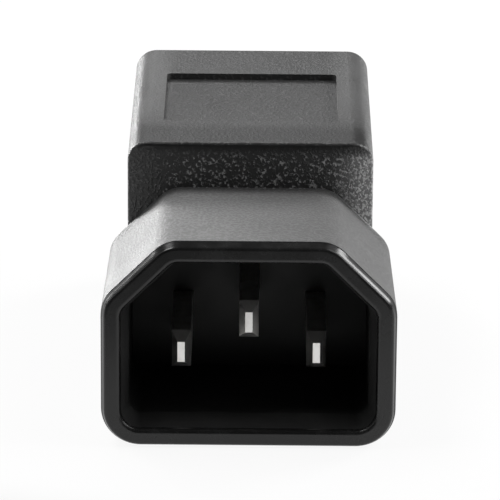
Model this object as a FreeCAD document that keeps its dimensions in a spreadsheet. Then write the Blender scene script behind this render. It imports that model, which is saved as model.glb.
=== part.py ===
import FreeCAD, Part
import math
import os
import re
import Sketcher

# Power adapter: a three-pin plug end in front (towards -Y) and a three-slot outlet at the back (+Y),
# moulded into one straight body. X is across, Y along the body, Z up from the flat underside.
# The origin is under the middle of the body.

doc = FreeCAD.newDocument("power_adapter")

# Driving sizes in millimetres, and two angles in degrees
SIZES = {
    # plug cavity, and the insert round it
    "cavity_width": 24.8,
    "cavity_height": 16.7,
    "cavity_depth": 16.8,
    "cavity_chamfer": 4.9,
    "cavity_low_radius": 1.3,
    "cavity_top_radius": 0.8,
    "lead_in": 0.9,
    "lead_in_depth": 3.0,
    "lip_round": 0.5,
    "rim_flat": 0.6,
    "rim_round": 0.4,
    "rim_slope": 0.4,
    "rim_depth": 0.95,
    "seam_width": 0.35,
    "seam_depth": 0.5,
    "sleeve_wall": 1.3,
    "floor_thickness": 1.1,
    "boss_length": 3.4,
    "boss_margin": 1.8,
    "boss_radius": 1.2,
    # jacket
    "shell_draft": 1.0,
    "shell_back_wall": 1.1,
    "shell_lap": 0.15,
    "shell_back_bevel": 0.8,
    "bevel_angle": 45,
    "block_length": 33.9,
    "block_radius": 2.3,
    "front_end_run": 4.5,
    "front_end_radius": 12.5,
    "front_end_room": 1.0,
    "block_front_round": 0.4,
    "block_back_round": 0.8,
    "jacket_wall": 2.45,
    "jacket_top": 2.55,
    "recess_side": 3.65,
    "recess_front": 7.6,
    "recess_back": 9.4,
    "recess_depth": 0.7,
    "recess_radius": 0.6,
    # pins
    "pin_spacing": 14.0,
    "pin_thickness": 2.0,
    "pin_height": 4.0,
    "pin_setback": 3.9,
    "earth_setback": 2.1,
    "earth_rise": 4.0,
    "tip_length": 1.2,
    "tip_thickness": 0.75,
    "tip_height": 2.2,
    "spigot_diameter": 1.5,
    "stake_overhang": 0.35,
    "stake_length": 0.5,
    # outlet
    "blade_spacing": 12.7,
    "slot_width": 2.0,
    "line_slot": 7.0,
    "neutral_slot": 8.4,
    "earth_offset": 11.9,
    "earth_hole_width": 5.4,
    "earth_hole_height": 5.8,
    "earth_hole_corner": 0.6,
    "arch_flat": 0.4,
    "chamber_wall": 1.4,
    "carrier_wall": 2.4,
    "carrier_radius": 1.5,
    "flange_thickness": 1.2,
    "face_thickness": 1.4,
    "face_margin": 0.6,
    "face_edge": 0.3,
    # spring contacts
    "strip": 0.6,
    "foot_thickness": 0.8,
    "stake_room": 0.35,
    "blade_throat": 1.2,
    "blade_flare": 2.6,
    "earth_throat": 4.4,
    "earth_flare": 5.4,
    "flare_room": 0.2,
    "strap_width": 4.0,
    "strap_margin": 0.2,
    "leaf_straight": 7.0,
    "throat_setback": 5.5,
    "leaf_end_gap": 0.8,
    # clearances
    "pin_fit": 0.05,
    "spigot_fit": 0.05,
    "contact_fit": 0.1,
}

sheet = doc.addObject("Spreadsheet::Sheet", "sizes")
for row, (alias, size) in enumerate(SIZES.items(), start=1):
    sheet.set(f"A{row}", alias)
    sheet.set(f"B{row}", str(size))
    sheet.setAlias(f"B{row}", alias)
doc.recompute()

SIZE_NAME = re.compile(r"[a-z_]+\b(?!\()")


def formula(text):
    """Expression that reads the sheet, from a formula in plain size names."""
    return SIZE_NAME.sub(lambda name: "sizes." + name.group(), text)


def value(text):
    """Present value of a formula."""
    return float(sheet.evalExpression(formula(text)))


# Plug end across the body
RIM_WALL = "(lead_in + lip_round + rim_flat + rim_round + rim_slope)"
CAVITY_MIDDLE = f"({RIM_WALL} + cavity_height / 2)"
PIN_ROW = f"({CAVITY_MIDDLE} - earth_rise / 2)"
EARTH_PIN_ROW = f"({CAVITY_MIDDLE} + earth_rise / 2)"

# Spring contacts: how far each reaches from the middle of what it grips
STAKE_DIAMETER = "(spigot_diameter + 2 * stake_overhang)"
PIN_OFFSET = "((pin_spacing - blade_spacing) / 2)"
STAKE_REACH = f"({STAKE_DIAMETER} / 2 + stake_room)"
BLADE_OUTER = f"(max(max({PIN_OFFSET}; 0) + {STAKE_REACH}; blade_flare / 2) + strip)"
BLADE_INNER = f"(max(max(-{PIN_OFFSET}; 0) + {STAKE_REACH}; blade_flare / 2) + strip)"
EARTH_HALF = "(earth_flare / 2 + flare_room + strip)"

# Outlet across the body, from the walls round the contact chambers
CHAMBER_HEIGHT = "(neutral_slot + 2 * contact_fit)"
CARRIER_WIDTH = f"(blade_spacing + 2 * ({BLADE_OUTER} + contact_fit + chamber_wall))"
CARRIER_BASE = "jacket_wall"
BLADE_ROW = f"({CARRIER_BASE} + chamber_wall + {CHAMBER_HEIGHT} / 2)"
EARTH_HOLE_ROW = f"({BLADE_ROW} + earth_offset)"
CARRIER_TOP = f"({EARTH_HOLE_ROW} + earth_hole_height / 2 + chamber_wall)"
CARRIER_HEIGHT = f"({CARRIER_TOP} - {CARRIER_BASE})"
CARRIER_MIDDLE = f"(({CARRIER_TOP} + {CARRIER_BASE}) / 2)"
BLOCK_WIDTH = f"({CARRIER_WIDTH} + 2 * jacket_wall)"
BLOCK_HEIGHT = f"({CARRIER_TOP} + jacket_top)"

# Stations along the body
SHELL_LENGTH = "(cavity_depth + floor_thickness + shell_back_wall)"
FRONT = f"(-({SHELL_LENGTH} + block_length) / 2)"
SEAM_FRONT = f"({FRONT} + rim_depth)"
JACKET_FRONT = f"({SEAM_FRONT} + seam_width)"
FLOOR_FRONT = f"({FRONT} + cavity_depth)"
FLOOR_BACK = f"({FLOOR_FRONT} + floor_thickness)"
BLOCK_FRONT = f"({FRONT} + {SHELL_LENGTH})"
CARRIER_FRONT = f"({FLOOR_BACK} + boss_length)"
FOOT_FRONT = f"({CARRIER_FRONT} + carrier_wall)"
FOOT_BACK = f"({FOOT_FRONT} + foot_thickness)"
BACK = f"(({SHELL_LENGTH} + block_length) / 2)"
FLANGE_BACK = f"({BACK} - face_thickness)"
CARRIER_BACK = f"({FLANGE_BACK} - flange_thickness)"

# Pins: name, place across, place up, and how far the tip lies behind the rim
PINS = [
    ("line", "(pin_spacing / 2)", PIN_ROW, "pin_setback"),
    ("neutral", "(-pin_spacing / 2)", PIN_ROW, "pin_setback"),
    ("earth", "0", EARTH_PIN_ROW, "earth_setback"),
]

# Blades of the plug that the outlet takes: name, and side across
BLADES = [("line", "1"), ("neutral", "-1")]


def new_body(name):
    body = doc.addObject("PartDesign::Body", name)
    body.Label = name
    return body


def new_sketch(body, name, plane, offset):
    """Sketch on one of the body's own planes, moved along that plane's normal by a formula."""
    sketch = body.newObject("Sketcher::SketchObject", name)
    support = [item for item in body.Origin.OriginFeatures if item.Role == plane][0]
    sketch.AttachmentSupport = [(support, "")]
    sketch.MapMode = "FlatFace"
    sketch.setExpression("AttachmentOffset.Base.z", formula(offset))
    return sketch


def section(body, name, station):
    """Sketch across the body at a station along Y: its axes are X and Z, and its normal is -Y."""
    return new_sketch(body, name, "XZ_Plane", f"-{station}")


def bind(sketch, kind, places, text):
    """Add a size to a sketch and tie it to a formula."""
    index = sketch.addConstraint(Sketcher.Constraint(kind, *places, value(text)))
    sketch.setExpression(f"Constraints[{index}]", formula(text))


def polygon(sketch, corners, guide=False):
    """Closed run of straight sides through corners of (across, up), as guide lines or as the profile."""
    spots = [FreeCAD.Vector(value(across), value(up), 0) for across, up in corners]
    sides = []
    for spot, following in zip(spots, spots[1:] + spots[:1]):
        sides.append(sketch.addGeometry(Part.LineSegment(spot, following), guide))
    for index, (across, up) in enumerate(corners):
        sketch.addConstraint(Sketcher.Constraint("Coincident", sides[index - 1], 2, sides[index], 1))
        bind(sketch, "DistanceX", (-1, 1, sides[index], 1), across)
        bind(sketch, "DistanceY", (-1, 1, sides[index], 1), up)
    return spots, sides


def rounded(sketch, corners):
    """Closed convex profile with an arc at each corner of (across, up, radius), counter-clockwise."""
    spots, guides = polygon(sketch, [corner[:2] for corner in corners], guide=True)
    radii = [corner[2] for corner in corners]
    count = len(corners)
    arcs = []
    starts = []
    ends = []
    for index, radius in enumerate(radii):
        before = (spots[index] - spots[index - 1]).normalize()
        after = (spots[(index + 1) % count] - spots[index]).normalize()
        reach = value(radius) * math.tan(before.getAngle(after) / 2)
        starts.append(spots[index] - before * reach)
        ends.append(spots[index] + after * reach)
        centre = starts[index] + FreeCAD.Vector(-before.y, before.x, 0) * value(radius)
        turns = [math.atan2(spot.y - centre.y, spot.x - centre.x) for spot in (starts[index], ends[index])]
        circle = Part.Circle(centre, FreeCAD.Vector(0, 0, 1), value(radius))
        arcs.append(sketch.addGeometry(Part.ArcOfCircle(circle, *turns)))
    sides = []
    for index in range(count):
        sides.append(sketch.addGeometry(Part.LineSegment(ends[index], starts[(index + 1) % count])))
    for index, radius in enumerate(radii):
        sketch.addConstraint(Sketcher.Constraint("PointOnObject", sides[index], 1, guides[index]))
        sketch.addConstraint(Sketcher.Constraint("PointOnObject", sides[index], 2, guides[index]))
        sketch.addConstraint(Sketcher.Constraint("Tangent", sides[index - 1], 2, arcs[index], 1))
        sketch.addConstraint(Sketcher.Constraint("Tangent", arcs[index], 2, sides[index], 1))
        bind(sketch, "Radius", (arcs[index],), radius)


def box_corners(across, up, width, height):
    left = f"({across} - {width} / 2)"
    right = f"({across} + {width} / 2)"
    low = f"({up} - {height} / 2)"
    high = f"({up} + {height} / 2)"
    return [(left, low), (right, low), (right, high), (left, high)]


def box(sketch, across, up, width, height):
    """Rectangle round a middle point."""
    polygon(sketch, box_corners(across, up, width, height))


def rounded_box(sketch, across, up, width, height, radius):
    """Rectangle round a middle point, with one radius at its corners."""
    rounded(sketch, [(*corner, radius) for corner in box_corners(across, up, width, height)])


def plug_outline(sketch, grow):
    """Outline of the plug cavity, with its two upper corners cut off, grown outwards on every side."""
    half = f"(cavity_width / 2 + {grow})"
    low = f"({RIM_WALL} - {grow})"
    high = f"({RIM_WALL} + cavity_height + {grow})"
    cut = f"(cavity_chamfer + {grow} * (2 - sqrt(2)))"
    low_radius = f"(cavity_low_radius + {grow})"
    top_radius = f"(cavity_top_radius + {grow})"
    rounded(sketch, [
        (f"-{half}", low, low_radius),
        (half, low, low_radius),
        (half, f"({high} - {cut})", top_radius),
        (f"({half} - {cut})", high, top_radius),
        (f"({cut} - {half})", high, top_radius),
        (f"-{half}", f"({high} - {cut})", top_radius),
    ])


def disc(sketch, across, up, diameter):
    """Full circle."""
    middle = FreeCAD.Vector(value(across), value(up), 0)
    index = sketch.addGeometry(Part.Circle(middle, FreeCAD.Vector(0, 0, 1), value(diameter) / 2))
    bind(sketch, "DistanceX", (-1, 1, index, 3), across)
    bind(sketch, "DistanceY", (-1, 1, index, 3), up)
    bind(sketch, "Diameter", (index,), diameter)


def feature(body, kind, sketch, length, reverse=False, taper=None):
    """Pad or Pocket of a sketch, with an optional draft."""
    made = body.newObject(f"PartDesign::{kind}", f"{sketch.Name}_{kind.lower()}")
    made.Profile = sketch
    made.setExpression("Length", formula(length))
    made.Reversed = reverse
    if taper is not None:
        made.setExpression("TaperAngle", formula(taper))
    doc.recompute()
    return made


def pad_back(body, sketch, length, taper=None):
    """Add material from a section towards the back."""
    return feature(body, "Pad", sketch, length, reverse=True, taper=taper)


def cut_back(body, sketch, length):
    """Take material away from a section towards the back."""
    return feature(body, "Pocket", sketch, length)


def loft(body, kind, sketches):
    """Straight-sided loft through sections."""
    made = body.newObject(f"PartDesign::{kind}", f"{sketches[0].Name}_loft")
    made.Profile = sketches[0]
    made.Sections = sketches[1:]
    made.Ruled = True
    doc.recompute()
    return made


def end_face(shape, station):
    """Name of the largest flat face that lies across the body at a station."""
    faces = []
    for index, face in enumerate(shape.Faces, start=1):
        across = face.BoundBox.YLength < 1e-6
        if across and abs(face.CenterOfMass.y - value(station)) < 1e-4:
            faces.append((face.Area, f"Face{index}"))
    return max(faces)[1]


def end_edges(shape, station, inner):
    """Names of the edges round the opening, or round the outside, of the end face at a station."""
    face = shape.getElement(end_face(shape, station))
    names = []
    for index, edge in enumerate(shape.Edges, start=1):
        on_face = any(edge.isSame(other) for other in face.Edges)
        outside = any(edge.isSame(other) for other in face.OuterWire.Edges)
        if on_face and outside != inner:
            names.append(f"Edge{index}")
    return names


def level_edges(shape, station):
    """Names of the edges along the top and the bottom of the end face at a station."""
    names = end_edges(shape, station, inner=False)
    return [name for name in names if shape.getElement(name).BoundBox.ZLength < 1e-6]


def ease(body, kind, base, places, size):
    """Fillet or Chamfer of named edges, or of all the edges of a named face."""
    made = body.newObject(f"PartDesign::{kind}", f"{base.Name}_{kind.lower()}")
    made.Base = (base, places)
    made.setExpression("Radius" if kind == "Fillet" else "Size", formula(size))
    doc.recompute()
    return made


def pin_hole(body, name, across, up, station, length):
    """Hole for a pin's shank through a wall."""
    hole = section(body, name, station)
    box(hole, across, up, "(pin_thickness + 2 * pin_fit)", "(pin_height + 2 * pin_fit)")
    return cut_back(body, hole, length)


def boss_outline(sketch):
    """Outline of the boss that holds the pins behind the cavity floor."""
    width = "(pin_spacing + pin_thickness + 2 * boss_margin)"
    height = "(earth_rise + pin_height + 2 * boss_margin)"
    rounded_box(sketch, "0", CAVITY_MIDDLE, width, height, "boss_radius")


def carrier_outline(sketch, inset):
    """Outline of the outlet's core, drawn in by an inset."""
    rounded_box(sketch, "0", CARRIER_MIDDLE, f"({CARRIER_WIDTH} - 2 * {inset})",
                f"({CARRIER_HEIGHT} - 2 * {inset})", "carrier_radius")


def turned_end(sketch, side):
    """Plan of the corner cut off one end of the block's front face, which turns back there along an arc."""
    start = f"({side} * ({BLOCK_WIDTH} / 2 - front_end_run))"
    beyond = f"({side} * ({BLOCK_WIDTH} / 2 + front_end_room))"
    ahead = f"({BLOCK_FRONT} - front_end_room)"
    axis = f"({BLOCK_FRONT} + front_end_radius)"
    behind = f"({axis} - sqrt(front_end_radius ^ 2 - (front_end_run + front_end_room) ^ 2))"
    corners = [(start, BLOCK_FRONT), (start, ahead), (beyond, ahead), (beyond, behind)]
    spots = [FreeCAD.Vector(value(across), value(along), 0) for across, along in corners]
    lines = [sketch.addGeometry(Part.LineSegment(*ends)) for ends in zip(spots, spots[1:])]
    centre = FreeCAD.Vector(value(start), value(axis), 0)
    turns = [math.atan2(spot.y - centre.y, spot.x - centre.x) for spot in (spots[0], spots[3])]
    circle = Part.Circle(centre, FreeCAD.Vector(0, 0, 1), value("front_end_radius"))
    arc = sketch.addGeometry(Part.ArcOfCircle(circle, min(turns), max(turns)))
    arc_start, arc_end = (1, 2) if turns[0] < turns[1] else (2, 1)
    sketch.addConstraint(Sketcher.Constraint("Coincident", arc, arc_start, lines[0], 1))
    sketch.addConstraint(Sketcher.Constraint("Coincident", lines[0], 2, lines[1], 1))
    sketch.addConstraint(Sketcher.Constraint("Coincident", lines[1], 2, lines[2], 1))
    sketch.addConstraint(Sketcher.Constraint("Coincident", lines[2], 2, arc, arc_end))
    bind(sketch, "Radius", (arc,), "front_end_radius")
    bind(sketch, "DistanceX", (-1, 1, arc, 3), start)
    bind(sketch, "DistanceY", (-1, 1, arc, 3), axis)
    bind(sketch, "DistanceX", (-1, 1, lines[0], 1), start)
    bind(sketch, "DistanceX", (-1, 1, lines[1], 1), start)
    bind(sketch, "DistanceY", (-1, 1, lines[1], 1), ahead)
    bind(sketch, "DistanceX", (-1, 1, lines[2], 1), beyond)
    bind(sketch, "DistanceY", (-1, 1, lines[2], 1), ahead)
    bind(sketch, "DistanceX", (-1, 1, lines[2], 2), beyond)


def jacket():
    """Textured overmould: drafted shell round the plug end, block with its recess, hollow for the inserts."""
    body = new_body("jacket")
    block = section(body, "block", BLOCK_FRONT)
    rounded_box(block, "0", f"({BLOCK_HEIGHT} / 2)", BLOCK_WIDTH, BLOCK_HEIGHT, "block_radius")
    pad_back(body, block, "block_length")
    front_ends = new_sketch(body, "front_ends", "XY_Plane", BLOCK_HEIGHT)
    turned_end(front_ends, "1")
    turned_end(front_ends, "-1")
    solid = feature(body, "Pocket", front_ends, BLOCK_HEIGHT)
    solid = ease(body, "Fillet", solid, level_edges(solid.Shape, BLOCK_FRONT), "block_front_round")
    ease(body, "Fillet", solid, [end_face(solid.Shape, BACK)], "block_back_round")
    shell = section(body, "shell", JACKET_FRONT)
    plug_outline(shell, RIM_WALL)
    shell_back_station = f"({BLOCK_FRONT} + shell_lap)"
    shell_run = f"({shell_back_station} - {JACKET_FRONT})"
    pad_back(body, shell, shell_run, taper="-shell_draft")
    shell_back = section(body, "shell_back", shell_back_station)
    plug_outline(shell_back, f"({RIM_WALL} - {shell_run} * tan(shell_draft))")
    pad_back(body, shell_back, "shell_back_bevel", taper="-bevel_angle")
    sleeve_hollow = section(body, "sleeve_hollow", JACKET_FRONT)
    plug_outline(sleeve_hollow, "sleeve_wall")
    cut_back(body, sleeve_hollow, f"{FLOOR_BACK} - {JACKET_FRONT}")
    boss_hollow = section(body, "boss_hollow", FLOOR_BACK)
    boss_outline(boss_hollow)
    cut_back(body, boss_hollow, "boss_length")
    carrier_hollow = section(body, "carrier_hollow", CARRIER_FRONT)
    carrier_outline(carrier_hollow, "0")
    cut_back(body, carrier_hollow, f"{FLANGE_BACK} - {CARRIER_FRONT}")
    face_hollow = section(body, "face_hollow", FLANGE_BACK)
    carrier_outline(face_hollow, "face_margin")
    cut_back(body, face_hollow, "face_thickness")
    recess = new_sketch(body, "recess", "XY_Plane", BLOCK_HEIGHT)
    recess_length = "(block_length - recess_front - recess_back)"
    rounded_box(recess, "0", f"({BLOCK_FRONT} + recess_front + {recess_length} / 2)",
                f"({BLOCK_WIDTH} - 2 * recess_side)", recess_length, "recess_radius")
    feature(body, "Pocket", recess, "recess_depth")
    return body


def plug_shroud():
    """Glossy insert: rim with a sloped side, a fine seam behind it, the sleeve, the floor and the pin boss."""
    body = new_body("plug_shroud")
    rim = section(body, "rim", FRONT)
    plug_outline(rim, f"({RIM_WALL} - rim_slope)")
    pad_back(body, rim, "rim_depth", taper="atan(rim_slope / rim_depth)")
    seam = section(body, "seam", SEAM_FRONT)
    plug_outline(seam, f"({RIM_WALL} - seam_depth)")
    pad_back(body, seam, "seam_width")
    sleeve = section(body, "sleeve", JACKET_FRONT)
    plug_outline(sleeve, "sleeve_wall")
    pad_back(body, sleeve, f"{FLOOR_BACK} - {JACKET_FRONT}")
    boss = section(body, "boss", FLOOR_BACK)
    boss_outline(boss)
    pad_back(body, boss, "boss_length")
    mouth = section(body, "mouth", FRONT)
    plug_outline(mouth, "lead_in")
    throat = section(body, "throat", f"({FRONT} + lead_in_depth)")
    plug_outline(throat, "0")
    loft(body, "SubtractiveLoft", [mouth, throat])
    cavity = section(body, "cavity", f"({FRONT} + lead_in_depth)")
    plug_outline(cavity, "0")
    cut_back(body, cavity, "cavity_depth - lead_in_depth")
    through = "floor_thickness + boss_length"
    for name, across, up, setback in PINS:
        solid = pin_hole(body, f"shroud_{name}_hole", across, up, FLOOR_FRONT, through)
    solid = ease(body, "Fillet", solid, end_edges(solid.Shape, FRONT, inner=False), "rim_round")
    ease(body, "Fillet", solid, end_edges(solid.Shape, FRONT, inner=True), "lip_round")
    return body


def pin(name, across, up, setback):
    """Flat pin with a tapered tip, and a round spigot staked over the contact's foot."""
    body = new_body(f"{name}_pin")
    tip_front = f"({FRONT} + {setback})"
    tip_back = f"({tip_front} + tip_length)"
    tip = section(body, f"{name}_tip", tip_front)
    box(tip, across, up, "tip_thickness", "tip_height")
    shoulder = section(body, f"{name}_shoulder", tip_back)
    box(shoulder, across, up, "pin_thickness", "pin_height")
    loft(body, "AdditiveLoft", [tip, shoulder])
    shank = section(body, f"{name}_shank", tip_back)
    box(shank, across, up, "pin_thickness", "pin_height")
    pad_back(body, shank, f"{FOOT_FRONT} - {tip_back}")
    spigot = section(body, f"{name}_spigot", FOOT_FRONT)
    disc(spigot, across, up, "spigot_diameter")
    pad_back(body, spigot, "foot_thickness")
    stake = section(body, f"{name}_stake", FOOT_BACK)
    disc(stake, across, up, STAKE_DIAMETER)
    pad_back(body, stake, "stake_length")
    return body


def leaf(reach, throat, flare):
    """One leaf in plan, as (out from the middle, along): outside to the tip, then back along the inside."""
    bend = f"({FOOT_BACK} + leaf_straight)"
    pinch = f"({CARRIER_BACK} - throat_setback)"
    tip = f"({CARRIER_BACK} - leaf_end_gap)"
    return [
        (reach, FOOT_FRONT),
        (reach, bend),
        (f"({throat} / 2 + strip)", pinch),
        (f"({flare} / 2 + strip)", tip),
        (f"({flare} / 2)", tip),
        (f"({throat} / 2)", pinch),
        (f"({reach} - strip)", bend),
        (f"({reach} - strip)", FOOT_BACK),
    ]


def leaves(sketch, middle, right_reach, left_reach, throat, flare):
    """Plan of a folded contact: a foot across the front, and two leaves that pinch in and flare out."""
    corners = [(f"({middle} + {out})", along) for out, along in leaf(right_reach, throat, flare)]
    corners += [(f"({middle} - {out})", along) for out, along in reversed(leaf(left_reach, throat, flare))]
    polygon(sketch, corners)


def foot_hole(body, name, across, up):
    """Hole in a contact's foot for the pin's spigot."""
    hole = section(body, name, FOOT_FRONT)
    disc(hole, across, up, "(spigot_diameter + 2 * spigot_fit)")
    cut_back(body, hole, "foot_thickness")


def blade_contact(name, side):
    """Spring contact for one blade, with a foot that is staked on the pin's spigot."""
    body = new_body(f"{name}_contact")
    plan = new_sketch(body, f"{name}_leaves", "XY_Plane", f"({BLADE_ROW} - neutral_slot / 2)")
    reaches = [BLADE_OUTER, BLADE_INNER] if side == "1" else [BLADE_INNER, BLADE_OUTER]
    leaves(plan, f"({side} * blade_spacing / 2)", *reaches, "blade_throat", "blade_flare")
    feature(body, "Pad", plan, "neutral_slot")
    foot_hole(body, f"{name}_foot_hole", f"({side} * pin_spacing / 2)", PIN_ROW)
    return body


def strap(sketch, room):
    """Outline of the strap that joins the earth pin to the higher earth contact, with room round it."""
    low = f"({EARTH_PIN_ROW} - pin_height / 2 - strap_margin - {room})"
    box(sketch, "0", f"(({low} + {EARTH_HOLE_ROW}) / 2)", f"(strap_width + 2 * {room})",
        f"({EARTH_HOLE_ROW} - {low})")


def earth_contact():
    """Spring contact behind the earth hole, with a strap down to the earth pin's spigot."""
    body = new_body("earth_contact")
    height = "(earth_hole_height - 2 * contact_fit)"
    plan = new_sketch(body, "earth_leaves", "XY_Plane", f"({EARTH_HOLE_ROW} - {height} / 2)")
    leaves(plan, "0", EARTH_HALF, EARTH_HALF, "earth_throat", "earth_flare")
    feature(body, "Pad", plan, height)
    foot = section(body, "earth_strap", FOOT_FRONT)
    strap(foot, "0")
    pad_back(body, foot, "foot_thickness")
    foot_hole(body, "earth_foot_hole", "0", EARTH_PIN_ROW)
    return body


def contact_carrier():
    """Insulating core: a front wall with pin holes, and chambers that open towards the outlet face."""
    body = new_body("contact_carrier")
    core = section(body, "core", CARRIER_FRONT)
    carrier_outline(core, "0")
    pad_back(body, core, f"{CARRIER_BACK} - {CARRIER_FRONT}")
    depth = f"{CARRIER_BACK} - {FOOT_FRONT}"
    for name, side in BLADES:
        chamber = section(body, f"{name}_chamber", FOOT_FRONT)
        middle = f"({side} * (blade_spacing + {BLADE_OUTER} - {BLADE_INNER}) / 2)"
        box(chamber, middle, BLADE_ROW, f"({BLADE_OUTER} + {BLADE_INNER} + 2 * contact_fit)", CHAMBER_HEIGHT)
        cut_back(body, chamber, depth)
    chamber = section(body, "earth_chamber", FOOT_FRONT)
    box(chamber, "0", EARTH_HOLE_ROW, f"(2 * ({EARTH_HALF} + contact_fit))", "earth_hole_height")
    cut_back(body, chamber, depth)
    channel = section(body, "earth_channel", FOOT_FRONT)
    strap(channel, "contact_fit")
    cut_back(body, channel, depth)
    for name, across, up, setback in PINS:
        pin_hole(body, f"carrier_{name}_hole", across, up, CARRIER_FRONT, "carrier_wall")
    return body


def receptacle_face():
    """Outlet face: a flange held behind the jacket's lip, blade slots and an arched earth hole."""
    body = new_body("receptacle_face")
    flange = section(body, "flange", CARRIER_BACK)
    carrier_outline(flange, "0")
    pad_back(body, flange, "flange_thickness")
    face = section(body, "face", FLANGE_BACK)
    carrier_outline(face, "face_margin")
    pad_back(body, face, "face_thickness")
    through = "flange_thickness + face_thickness"
    for name, side in BLADES:
        slot = section(body, f"{name}_slot", CARRIER_BACK)
        box(slot, f"({side} * blade_spacing / 2)", BLADE_ROW, "slot_width", f"{name}_slot")
        cut_back(body, slot, through)
    hole = section(body, "earth_hole", CARRIER_BACK)
    low_left, low_right, high_right, high_left = box_corners(
        "0", EARTH_HOLE_ROW, "earth_hole_width", "earth_hole_height")
    arch = "((earth_hole_width - arch_flat) / 2)"
    rounded(hole, [(*low_left, "earth_hole_corner"), (*low_right, "earth_hole_corner"),
                   (*high_right, arch), (*high_left, arch)])
    solid = cut_back(body, hole, through)
    ease(body, "Chamfer", solid, [end_face(solid.Shape, BACK)], "face_edge")
    return body


parts = [jacket(), plug_shroud()]
for name, across, up, setback in PINS:
    parts.append(pin(name, across, up, setback))
for name, side in BLADES:
    parts.append(blade_contact(name, side))
parts += [earth_contact(), contact_carrier(), receptacle_face()]

doc.recompute()
failed = [item.Label for item in doc.Objects if "Invalid" in item.State or "Error" in item.State]
failed += [part.Label for part in parts if part.Shape.isNull() or not part.Shape.isValid()]
if failed:
    raise RuntimeError("failed: " + ", ".join(failed))

os.makedirs("parts", exist_ok=True)
for part in parts:
    part.Shape.exportStep(f"parts/{part.Label}.step")
    print(part.Label, "volume", round(part.Shape.Volume, 1), "solids", len(part.Shape.Solids))
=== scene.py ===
import bpy
import math
from mathutils import Matrix, Vector

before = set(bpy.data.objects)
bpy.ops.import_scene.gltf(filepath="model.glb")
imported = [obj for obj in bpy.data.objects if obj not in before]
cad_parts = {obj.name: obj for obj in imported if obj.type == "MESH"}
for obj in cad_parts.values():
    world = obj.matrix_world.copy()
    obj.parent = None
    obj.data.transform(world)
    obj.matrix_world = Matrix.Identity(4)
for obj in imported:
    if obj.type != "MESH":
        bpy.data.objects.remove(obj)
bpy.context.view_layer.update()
scene = bpy.context.scene
scene.view_settings.view_transform = "Standard"


# The view: a long lens a little above the adapter, looking straight at its plug end.
# The camera leans by less than half a degree.
LENS_MM = 311.95
NEAR_LIMIT = 0.01
AIM = Vector((0.00006, -0.02645, 0.02181))
AIM_DISTANCE = 0.44016
LOOK_DOWN = math.radians(19.74)
LOOK_ASIDE = math.radians(0.13)
LEAN = math.radians(0.44)

forward = Vector((-math.sin(LOOK_ASIDE) * math.cos(LOOK_DOWN),
                  math.cos(LOOK_ASIDE) * math.cos(LOOK_DOWN),
                  -math.sin(LOOK_DOWN)))
level_right = Vector((math.cos(LOOK_ASIDE), math.sin(LOOK_ASIDE), 0))
level_up = level_right.cross(forward)
right = math.cos(LEAN) * level_right + math.sin(LEAN) * level_up
up = math.cos(LEAN) * level_up - math.sin(LEAN) * level_right
turned = Matrix((right, up, -forward)).transposed().to_4x4()
camera = bpy.data.objects.new("camera", bpy.data.cameras.new("camera"))
scene.collection.objects.link(camera)
camera.data.lens = LENS_MM
camera.data.clip_start = NEAR_LIMIT
camera.matrix_world = Matrix.Translation(AIM - AIM_DISTANCE * forward) @ turned
scene.camera = camera


# The table: a wide sheet of matt white board that the adapter stands on.
# It shows white to the camera and in reflections, and still takes the adapter's soft shadow.
# In front of the plug end, below the view, it is painted darker, fading to grey and more so on the left:
# painted shade for light that falls off there.
BOARD_HALF = 3.0
BOARD_CELLS = 4
BOARD_WHITE = (0.86, 0.86, 0.86, 1)
BOARD_PAINTED_SHADE_GREY = (0.22, 0.22, 0.22, 1)
BOARD_GLOW = 0.90
FADE_DIRECTION = (0.35, 1, 0)
FADE_SPAN = (-0.090, -0.042)
PURE_WHITE = (1, 1, 1, 1)


def new_material(name):
    """An empty material, ready for nodes."""
    material = bpy.data.materials.new(name)
    material.use_nodes = True
    material.node_tree.nodes.clear()
    return material


def feed(material, socket, value):
    """Gives an input socket its value, or links it to the socket that makes the value."""
    if isinstance(value, bpy.types.NodeSocket):
        material.node_tree.links.new(value, socket)
    else:
        socket.default_value = value


def add_node(material, kind, **settings):
    """Adds a node. A setting that names an input feeds that input, and any other is the node's own."""
    made = material.node_tree.nodes.new(kind)
    for name, value in settings.items():
        socket = made.inputs.get(name.replace("_", " "))
        if socket is None:
            setattr(made, name, value)
        else:
            feed(material, socket, value)
    return made


def object_place(material):
    """The place on a piece, in metres along its own axes."""
    return add_node(material, "ShaderNodeTexCoord").outputs["Object"]


def spread(material, value, span, low=0, high=1):
    """Goes smoothly from low to high while the value goes from the span's first end to its second."""
    return add_node(material, "ShaderNodeMapRange", interpolation_type="SMOOTHSTEP", Value=value,
                    From_Min=span[0], From_Max=span[1], To_Min=low, To_Max=high).outputs["Result"]


def combine(material, operation, *values):
    """One value from several, by a sum, a product or the largest of them."""
    result = values[0]
    for value in values[1:]:
        made = add_node(material, "ShaderNodeMath", operation=operation)
        feed(material, made.inputs[0], result)
        feed(material, made.inputs[1], value)
        result = made.outputs[0]
    return result


def two_tone(material, share_of_second, first, second):
    """A colour between two tones, each of them a colour or the socket that makes one."""
    tone = add_node(material, "ShaderNodeMix", data_type="RGBA", Factor=share_of_second)
    colours = [socket for socket in tone.inputs if socket.type == "RGBA"]
    feed(material, colours[0], first)
    feed(material, colours[1], second)
    return tone.outputs["Result"]


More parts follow.
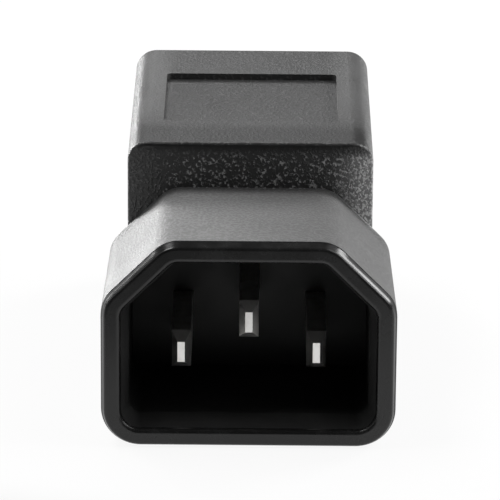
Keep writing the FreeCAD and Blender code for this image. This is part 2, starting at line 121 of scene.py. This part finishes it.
board_white = new_material("board_white")
fading = add_node(board_white, "ShaderNodeVectorMath", operation="DOT_PRODUCT")
feed(board_white, fading.inputs[0], object_place(board_white))
feed(board_white, fading.inputs[1], FADE_DIRECTION)
board_depth = fading.outputs["Value"]
# Painted shade: the board is painted grey in front of the plug end, more so on the left.
painted_shade_in_front = spread(board_white, board_depth, FADE_SPAN, 1, 0)
ray = add_node(board_white, "ShaderNodeLightPath").outputs
seen = combine(board_white, "MAXIMUM",
               ray["Is Camera Ray"], ray["Is Glossy Ray"], ray["Is Transmission Ray"])
matt = add_node(board_white, "ShaderNodeBsdfDiffuse",
                Color=two_tone(board_white, painted_shade_in_front, BOARD_WHITE, BOARD_PAINTED_SHADE_GREY))
# The glow is dimmed by the same painted shade in front of the plug end.
glow = add_node(board_white, "ShaderNodeEmission", Color=PURE_WHITE,
                Strength=spread(board_white, board_depth, FADE_SPAN, BOARD_PAINTED_SHADE_GREY[0], 1))
blend = add_node(board_white, "ShaderNodeMixShader", Fac=combine(board_white, "MULTIPLY", seen, BOARD_GLOW))
feed(board_white, blend.inputs[1], matt.outputs[0])
feed(board_white, blend.inputs[2], glow.outputs[0])
add_node(board_white, "ShaderNodeOutputMaterial", Surface=blend.outputs[0])

bpy.ops.object.select_all(action="DESELECT")
bpy.ops.mesh.primitive_grid_add(x_subdivisions=BOARD_CELLS, y_subdivisions=BOARD_CELLS, size=2 * BOARD_HALF)
board = bpy.context.object
board.name = "board"
board.data.materials.append(board_white)


# The light: soft white panels round the adapter and a dim room. A strong low one stands behind on the left,
# a bright upright one behind on the right, which makes the streak on the rim, and the rest hang above it
# or fill in from the sides. A panel's level is 1 where it is as bright as white paper in plain light.
ROOM_LEVEL = 0.05
PANEL_DISTANCE = 0.6
PANEL_AIM = Vector((0, 0, 0.015))
# Each row: name, then compass angle from straight behind, angle up, width and height in degrees, then level.
PANELS = (
    ("panel_left_low", -40, 8, 16, 14, 44.0),
    ("panel_left_side", -94, 32, 20, 50, 1.0),
    ("panel_left_back", -15, 37, 28, 20, 3.6),
    ("panel_right_back", 15, 37, 28, 20, 1.2),
    ("panel_left_top", -84, 64, 36, 16, 8.5),
    ("panel_right_top", 84, 58, 36, 20, 2.0),
    ("panel_right_bright", 57, 25, 18, 28, 11.5),
    ("panel_right_side", 94, 30, 16, 24, 8.0),
    ("panel_right_front", 114, 35, 20, 50, 1.0),
)

room = bpy.data.worlds.new("room")
scene.world = room
room.use_nodes = True
room_light = room.node_tree.nodes["Background"].inputs
room_light["Color"].default_value = PURE_WHITE
room_light["Strength"].default_value = ROOM_LEVEL

for name, around, above, wide, high, level in PANELS:
    turn = math.radians(around)
    rise = math.radians(above)
    toward = Vector((math.sin(turn) * math.cos(rise), math.cos(turn) * math.cos(rise), math.sin(rise)))
    light = bpy.data.lights.new(name, "AREA")
    light.shape = "RECTANGLE"
    light.size = 2 * PANEL_DISTANCE * math.tan(math.radians(wide / 2))
    light.size_y = 2 * PANEL_DISTANCE * math.tan(math.radians(high / 2))
    light.energy = level * math.pi * light.size * light.size_y
    panel = bpy.data.objects.new(name, light)
    panel.location = PANEL_AIM + PANEL_DISTANCE * toward
    panel.rotation_euler = (-toward).to_track_quat("-Z", "Y").to_euler()
    panel.visible_camera = False
    scene.collection.objects.link(panel)


# The three pins: flat brass strip cut to length with a tapered tip, plated with bright nickel,
# and pressed through the floor of the plug end. The plating shows the strip's drawn lines and a faint cloud.
NICKEL_CLEAN = (0.86, 0.85, 0.83, 1)
NICKEL_CLOUDED = (0.70, 0.68, 0.65, 1)
CLOUDS_PER_METRE = 700
CLOUDS_SHOWN = (0.45, 0.75)
DRAWN_PER_METRE = 9000
DRAWN_STRETCH = (1, 0.04, 1)
DRAWN_DEEP = 0.000003
DRAWN_SHOWN = (0.3, 0.7)
NICKEL_SMOOTH = 0.28
NICKEL_ROUGH = 0.46


def noise(material, place, per_metre, detail, **settings):
    """A cloudy value from 0 to 1, with about so many patches to the metre."""
    return add_node(material, "ShaderNodeTexNoise", Vector=place, Scale=per_metre, Detail=detail,
                    **settings).outputs["Fac"]


def relief(material, height, deep, **settings):
    """Raises the surface a little where the height, from 0 to 1, is large."""
    return add_node(material, "ShaderNodeBump", Height=height, Distance=deep, **settings).outputs[0]


def finish_material(material, pieces, **settings):
    """Ends a material with one surface shader and puts it on the named pieces."""
    surface = add_node(material, "ShaderNodeBsdfPrincipled", **settings)
    add_node(material, "ShaderNodeOutputMaterial", Surface=surface.outputs[0])
    for piece in pieces:
        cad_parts[piece].data.materials[0] = material


pin_nickel = new_material("pin_nickel")
place = object_place(pin_nickel)
along = add_node(pin_nickel, "ShaderNodeMapping", Vector=place, Scale=DRAWN_STRETCH).outputs[0]
drawn_lines = noise(pin_nickel, along, DRAWN_PER_METRE, detail=3.0)
clouding = spread(pin_nickel, noise(pin_nickel, place, CLOUDS_PER_METRE, detail=4.0), CLOUDS_SHOWN)
finish_material(pin_nickel, ("line_pin", "neutral_pin", "earth_pin"),
                Base_Color=two_tone(pin_nickel, clouding, NICKEL_CLEAN, NICKEL_CLOUDED),
                Metallic=1.0,
                Roughness=spread(pin_nickel, drawn_lines, DRAWN_SHOWN, NICKEL_SMOOTH, NICKEL_ROUGH),
                Normal=relief(pin_nickel, drawn_lines, DRAWN_DEEP))


# The spring contacts: folded brass strip, staked on the pins' tails inside the core.
# The brass is as rolled, with fine lines along it and brown patches of tarnish.
BRASS_BRIGHT = (0.72, 0.55, 0.28, 1)
BRASS_TARNISHED = (0.38, 0.25, 0.12, 1)
TARNISH_PER_METRE = 350
TARNISH_SHOWN = (0.48, 0.72)
ROLLED_PER_METRE = 7000
ROLLED_STRETCH = (1, 0.05, 1)
ROLLED_DEEP = 0.000003
ROLLED_SHOWN = (0.3, 0.7)
BRASS_SMOOTH = 0.28
BRASS_ROUGH = 0.5

contact_brass = new_material("contact_brass")
place = object_place(contact_brass)
along = add_node(contact_brass, "ShaderNodeMapping", Vector=place, Scale=ROLLED_STRETCH).outputs[0]
rolled_lines = noise(contact_brass, along, ROLLED_PER_METRE, detail=3.0)
tarnish = spread(contact_brass, noise(contact_brass, place, TARNISH_PER_METRE, detail=5.0), TARNISH_SHOWN)
finish_material(contact_brass, ("line_contact", "neutral_contact", "earth_contact"),
                Base_Color=two_tone(contact_brass, tarnish, BRASS_BRIGHT, BRASS_TARNISHED),
                Metallic=1.0,
                Roughness=spread(contact_brass, rolled_lines, ROLLED_SHOWN, BRASS_SMOOTH, BRASS_ROUGH),
                Normal=relief(contact_brass, rolled_lines, ROLLED_DEEP))


# The core: a plain dark moulding with a chamber for each contact, closed in by the jacket.
# It is matt and slightly streaked, as moulded filled plastic is.
CORE_DARK = (0.030, 0.030, 0.032, 1)
CORE_STREAK = (0.060, 0.060, 0.062, 1)
STREAKS_PER_METRE = 260
STREAKS_PALE = (0.4, 0.7)
STREAKS_MATT = (0.3, 0.7)
CORE_SMOOTH = 0.5
CORE_ROUGH = 0.68
CORE_GRAIN_PER_METRE = 5000
CORE_GRAIN_DEEP = 0.00001

core_plastic = new_material("core_plastic")
place = object_place(core_plastic)
streaks = noise(core_plastic, place, STREAKS_PER_METRE, detail=5.0, Distortion=1.5)
core_grain = noise(core_plastic, place, CORE_GRAIN_PER_METRE, detail=2.0)
finish_material(core_plastic, ("contact_carrier",),
                Base_Color=two_tone(core_plastic, spread(core_plastic, streaks, STREAKS_PALE),
                                    CORE_DARK, CORE_STREAK),
                Roughness=spread(core_plastic, streaks, STREAKS_MATT, CORE_SMOOTH, CORE_ROUGH),
                Normal=relief(core_plastic, core_grain, CORE_GRAIN_DEEP))


# The hard insert: glossy black plastic, the rim and sleeve of the plug end and the face of the outlet.
# The mould was polished, so the surface has only a slight ripple, with dull patches where it is handled.
# The cavity was left as machined, which is matt, and the rim's outer edge is worn matt at its sides.
INSERT_BLACK = (0.010, 0.010, 0.010, 1)
INSERT_DULLED = (0.018, 0.018, 0.018, 1)
INSERT_REFLECTION = 0.4
RIPPLES_PER_METRE = 1500
RIPPLE_DEEP = 0.000004
HANDLING_PER_METRE = 240
HANDLING_PALE = (0.45, 0.75)
HANDLING_DULL = (0.35, 0.7)
INSERT_SMOOTH = 0.19
INSERT_ROUGH = 0.29
# Spans are in metres: along from plug end to outlet, across from left to right, and up from the table.
CAVITY_ALONG = (-0.0250, -0.0225)
CAVITY_END_ALONG = (0.0, 0.001)
CAVITY_MATT = 0.32
EDGE_ALONG = (-0.02600, -0.02572)
EDGE_TOP_UP = (0.0205, 0.0215)
EDGE_MATT = 0.45

insert_plastic = new_material("insert_plastic")
place = object_place(insert_plastic)
position = add_node(insert_plastic, "ShaderNodeSeparateXYZ", Vector=place).outputs
ripple = noise(insert_plastic, place, RIPPLES_PER_METRE, detail=2.0)
handling = noise(insert_plastic, place, HANDLING_PER_METRE, detail=6.0, Roughness=0.65)
cavity_dulling = combine(insert_plastic, "MULTIPLY",
                         spread(insert_plastic, position["Y"], CAVITY_ALONG, 0, CAVITY_MATT),
                         spread(insert_plastic, position["Y"], CAVITY_END_ALONG, 1, 0))
edge_dulling = combine(insert_plastic, "MULTIPLY",
                       spread(insert_plastic, position["Y"], EDGE_ALONG, 0, EDGE_MATT),
                       spread(insert_plastic, position["Y"], CAVITY_ALONG, 1, 0),
                       spread(insert_plastic, position["Z"], EDGE_TOP_UP, 1, 0))
handled_dulling = spread(insert_plastic, handling, HANDLING_DULL, INSERT_SMOOTH, INSERT_ROUGH)
finish_material(insert_plastic, ("plug_shroud", "receptacle_face"),
                Base_Color=two_tone(insert_plastic, spread(insert_plastic, handling, HANDLING_PALE),
                                    INSERT_BLACK, INSERT_DULLED),
                Roughness=combine(insert_plastic, "ADD", cavity_dulling, edge_dulling, handled_dulling),
                Specular_IOR_Level=INSERT_REFLECTION,
                Normal=relief(insert_plastic, ripple, RIPPLE_DEEP))


# The jacket: near-black plastic moulded over the rest in a spark-eroded mould, with a grain of low bumps.
# The plug end is paler above, most on its left shoulder: partly a paler scuffed matt finish and partly
# painted light from above and the left.
# The block has pale rubbed crests, which also stand in as painted glints; its front has painted glints, with
# a painted highlight at one corner, and its top is rubbed smooth, with painted light at the back beside the
# recess and painted shade in front of it.
JACKET_BLACK = (0.040, 0.040, 0.040, 1)
PAINTED_LIGHT_AND_SCUFF_TONE = (0.28, 0.28, 0.28, 1)
CREST_AND_GLINT_TONE = (0.085, 0.085, 0.085, 1)
FRONT_GLINT_TONE = (0.47, 0.47, 0.47, 1)
PAINTED_SHADE_DARK = (0.008, 0.008, 0.008, 1)
GRAIN_PER_METRE = 3300
BUMPS_HIGH = 0.00008
BUMPS_GRAIN = (0.45, 0.64)
SINKS_PER_METRE = 110
SINK_DEEP = 0.00006
RUBBING_PER_METRE = 160
RUBBING_SHOWN = (0.35, 0.7)
WHOLE = (0, 1)

jacket_plastic = new_material("jacket_plastic")
place = object_place(jacket_plastic)
position = add_node(jacket_plastic, "ShaderNodeSeparateXYZ", Vector=place).outputs
grain = noise(jacket_plastic, place, GRAIN_PER_METRE, detail=1.5, Roughness=0.55)
rubbing = noise(jacket_plastic, place, RUBBING_PER_METRE, detail=5.0, Roughness=0.6)
sinking = noise(jacket_plastic, place, SINKS_PER_METRE, detail=1.0)

# Paler tone on the shell round the plug end, partly a scuffed matt finish and partly painted light: less
# below, and more to the left and on the left shoulder, where the light falls. It comes in over the first 3
# mm in front of the block, as painted shade beside the block.
SHELL_ALONG = (-0.0076, -0.0106)
SHELL_UP = (0.0120, 0.0170)
SHELL_ACROSS = (-0.0110, 0.0110)
SHOULDER_ACROSS = (-0.0080, -0.0100)
PAINTED_LIGHT_BELOW = 0.35
PAINTED_LIGHT_LEFT = 0.60
PAINTED_LIGHT_RIGHT = 0.29
PAINTED_LIGHT_SHOULDER = 0.40
SHELL_TONE_GRAIN = (0.40, 0.60)
SHELL_TONE_IN_PITS = 0.7
SHELL_TONE_ON_BUMPS = 1.15

on_shell = spread(jacket_plastic, position["Y"], SHELL_ALONG)
painted_light_across = combine(jacket_plastic, "ADD",
                        spread(jacket_plastic, position["X"], SHELL_ACROSS, PAINTED_LIGHT_LEFT, PAINTED_LIGHT_RIGHT),
                        spread(jacket_plastic, position["X"], SHOULDER_ACROSS, 0, PAINTED_LIGHT_SHOULDER))
shell_scuffs_and_painted_light = combine(jacket_plastic, "MULTIPLY", on_shell,
                       spread(jacket_plastic, position["Z"], SHELL_UP, PAINTED_LIGHT_BELOW, 1),
                       painted_light_across,
                       spread(jacket_plastic, grain, SHELL_TONE_GRAIN, SHELL_TONE_IN_PITS, SHELL_TONE_ON_BUMPS))

# The block's top: painted light towards the back in the strips beside the recess, more on the left, and
# painted shade in front of the recess.
TOP_UP = (0.0256, 0.0267)
STRIPS_ALONG = (-0.0035, 0.0120)
LEFT_STRIP_ACROSS = (-0.0105, -0.0080)
RIGHT_STRIP_ACROSS = (0.0080, 0.0105)
LEFT_STRIP_PAINTED_LIGHT = 0.22
RIGHT_STRIP_PAINTED_LIGHT = 0.16
FRONT_SHADE_ALONG = (-0.0035, 0.0005)

on_top = spread(jacket_plastic, position["Z"], TOP_UP)
strips_across = combine(jacket_plastic, "ADD",
                        spread(jacket_plastic, position["X"], LEFT_STRIP_ACROSS, LEFT_STRIP_PAINTED_LIGHT, 0),
                        spread(jacket_plastic, position["X"], RIGHT_STRIP_ACROSS, 0, RIGHT_STRIP_PAINTED_LIGHT))
top_painted_light = combine(jacket_plastic, "MULTIPLY", on_top, strips_across,
                     spread(jacket_plastic, position["Y"], STRIPS_ALONG))
# Painted shade: the top is painted near-black in front of the recess.
front_painted_shade = combine(jacket_plastic, "MULTIPLY", on_top,
                 spread(jacket_plastic, position["Y"], FRONT_SHADE_ALONG, 1, 0))

# The block's front: a painted highlight over the grain at the upper right corner, and single painted glints
# on the rest, none at the left end.
FRONT_ALONG = (-0.0078, -0.0075)
FRONT_END_ALONG = (-0.0066, -0.0058)
FRONT_TOP_UP = (0.0250, 0.0260)
CORNER_ACROSS = (0.0080, 0.0125)
CORNER_UP = (0.0100, 0.0180)
CORNER_GRAIN = (0.36, 0.68)
CORNER_IN_PITS = 0.25
GLINTS_ACROSS = (-0.0105, -0.0080)
GLINTS_GRAIN = (0.57, 0.72)
GLINTS_ON_BUMPS = 0.85
CREST_AND_GLINT_GRAIN = (0.57, 0.66)

corner_painted_highlight = combine(jacket_plastic, "MULTIPLY",
                      spread(jacket_plastic, position["X"], CORNER_ACROSS),
                      spread(jacket_plastic, position["Z"], CORNER_UP),
                      spread(jacket_plastic, grain, CORNER_GRAIN, CORNER_IN_PITS, 1))
painted_glints = combine(jacket_plastic, "MULTIPLY",
                 spread(jacket_plastic, grain, GLINTS_GRAIN, 0, GLINTS_ON_BUMPS),
                 spread(jacket_plastic, position["X"], GLINTS_ACROSS))
front_painted_light = combine(jacket_plastic, "MULTIPLY",
                     spread(jacket_plastic, position["Y"], FRONT_ALONG),
                     spread(jacket_plastic, position["Y"], FRONT_END_ALONG, 1, 0),
                     spread(jacket_plastic, position["Z"], FRONT_TOP_UP, 1, 0),
                     combine(jacket_plastic, "MAXIMUM", corner_painted_highlight, painted_glints))
# Pale crests on the block's grain, partly rubbed crests and partly painted glints.
crests_and_painted_glints = combine(jacket_plastic, "MULTIPLY",
                 spread(jacket_plastic, grain, CREST_AND_GLINT_GRAIN),
                 spread(jacket_plastic, on_shell, WHOLE, 1, 0))

# The jacket's colour: black, with painted light and scuffs, crests with painted glints, painted shade on the
# top's front, and painted glints and a painted highlight on the front.
lit_and_scuffed_tone = two_tone(jacket_plastic, combine(jacket_plastic, "ADD", shell_scuffs_and_painted_light, top_painted_light),
                        JACKET_BLACK, PAINTED_LIGHT_AND_SCUFF_TONE)
glinted_crest_tone = two_tone(jacket_plastic, crests_and_painted_glints, lit_and_scuffed_tone, CREST_AND_GLINT_TONE)
painted_shade_tone = two_tone(jacket_plastic, front_painted_shade, glinted_crest_tone, PAINTED_SHADE_DARK)
jacket_tone_with_painted_light = two_tone(jacket_plastic, front_painted_light, painted_shade_tone, FRONT_GLINT_TONE)

# The bumps are lowest on the rubbed top and lower on the shell, which is also duller than the block.
TOP_BUMPS = 0.3
SHELL_BUMPS = 0.5
BLOCK_DULL = 0.36
SHELL_DULL = 0.58
UNRUBBED_DULL = 0.06
RUBBED_DULL = -0.04

bumps_left = combine(jacket_plastic, "MULTIPLY",
                     spread(jacket_plastic, on_top, WHOLE, 1, TOP_BUMPS),
                     spread(jacket_plastic, on_shell, WHOLE, 1, SHELL_BUMPS))
sunk = relief(jacket_plastic, sinking, SINK_DEEP)
bumps = relief(jacket_plastic, spread(jacket_plastic, grain, BUMPS_GRAIN), BUMPS_HIGH,
               Strength=bumps_left, Normal=sunk)
dullness = combine(jacket_plastic, "ADD",
                   spread(jacket_plastic, on_shell, WHOLE, BLOCK_DULL, SHELL_DULL),
                   spread(jacket_plastic, rubbing, RUBBING_SHOWN, UNRUBBED_DULL, RUBBED_DULL))
finish_material(jacket_plastic, ("jacket",), Base_Color=jacket_tone_with_painted_light, Roughness=dullness, Normal=bumps)
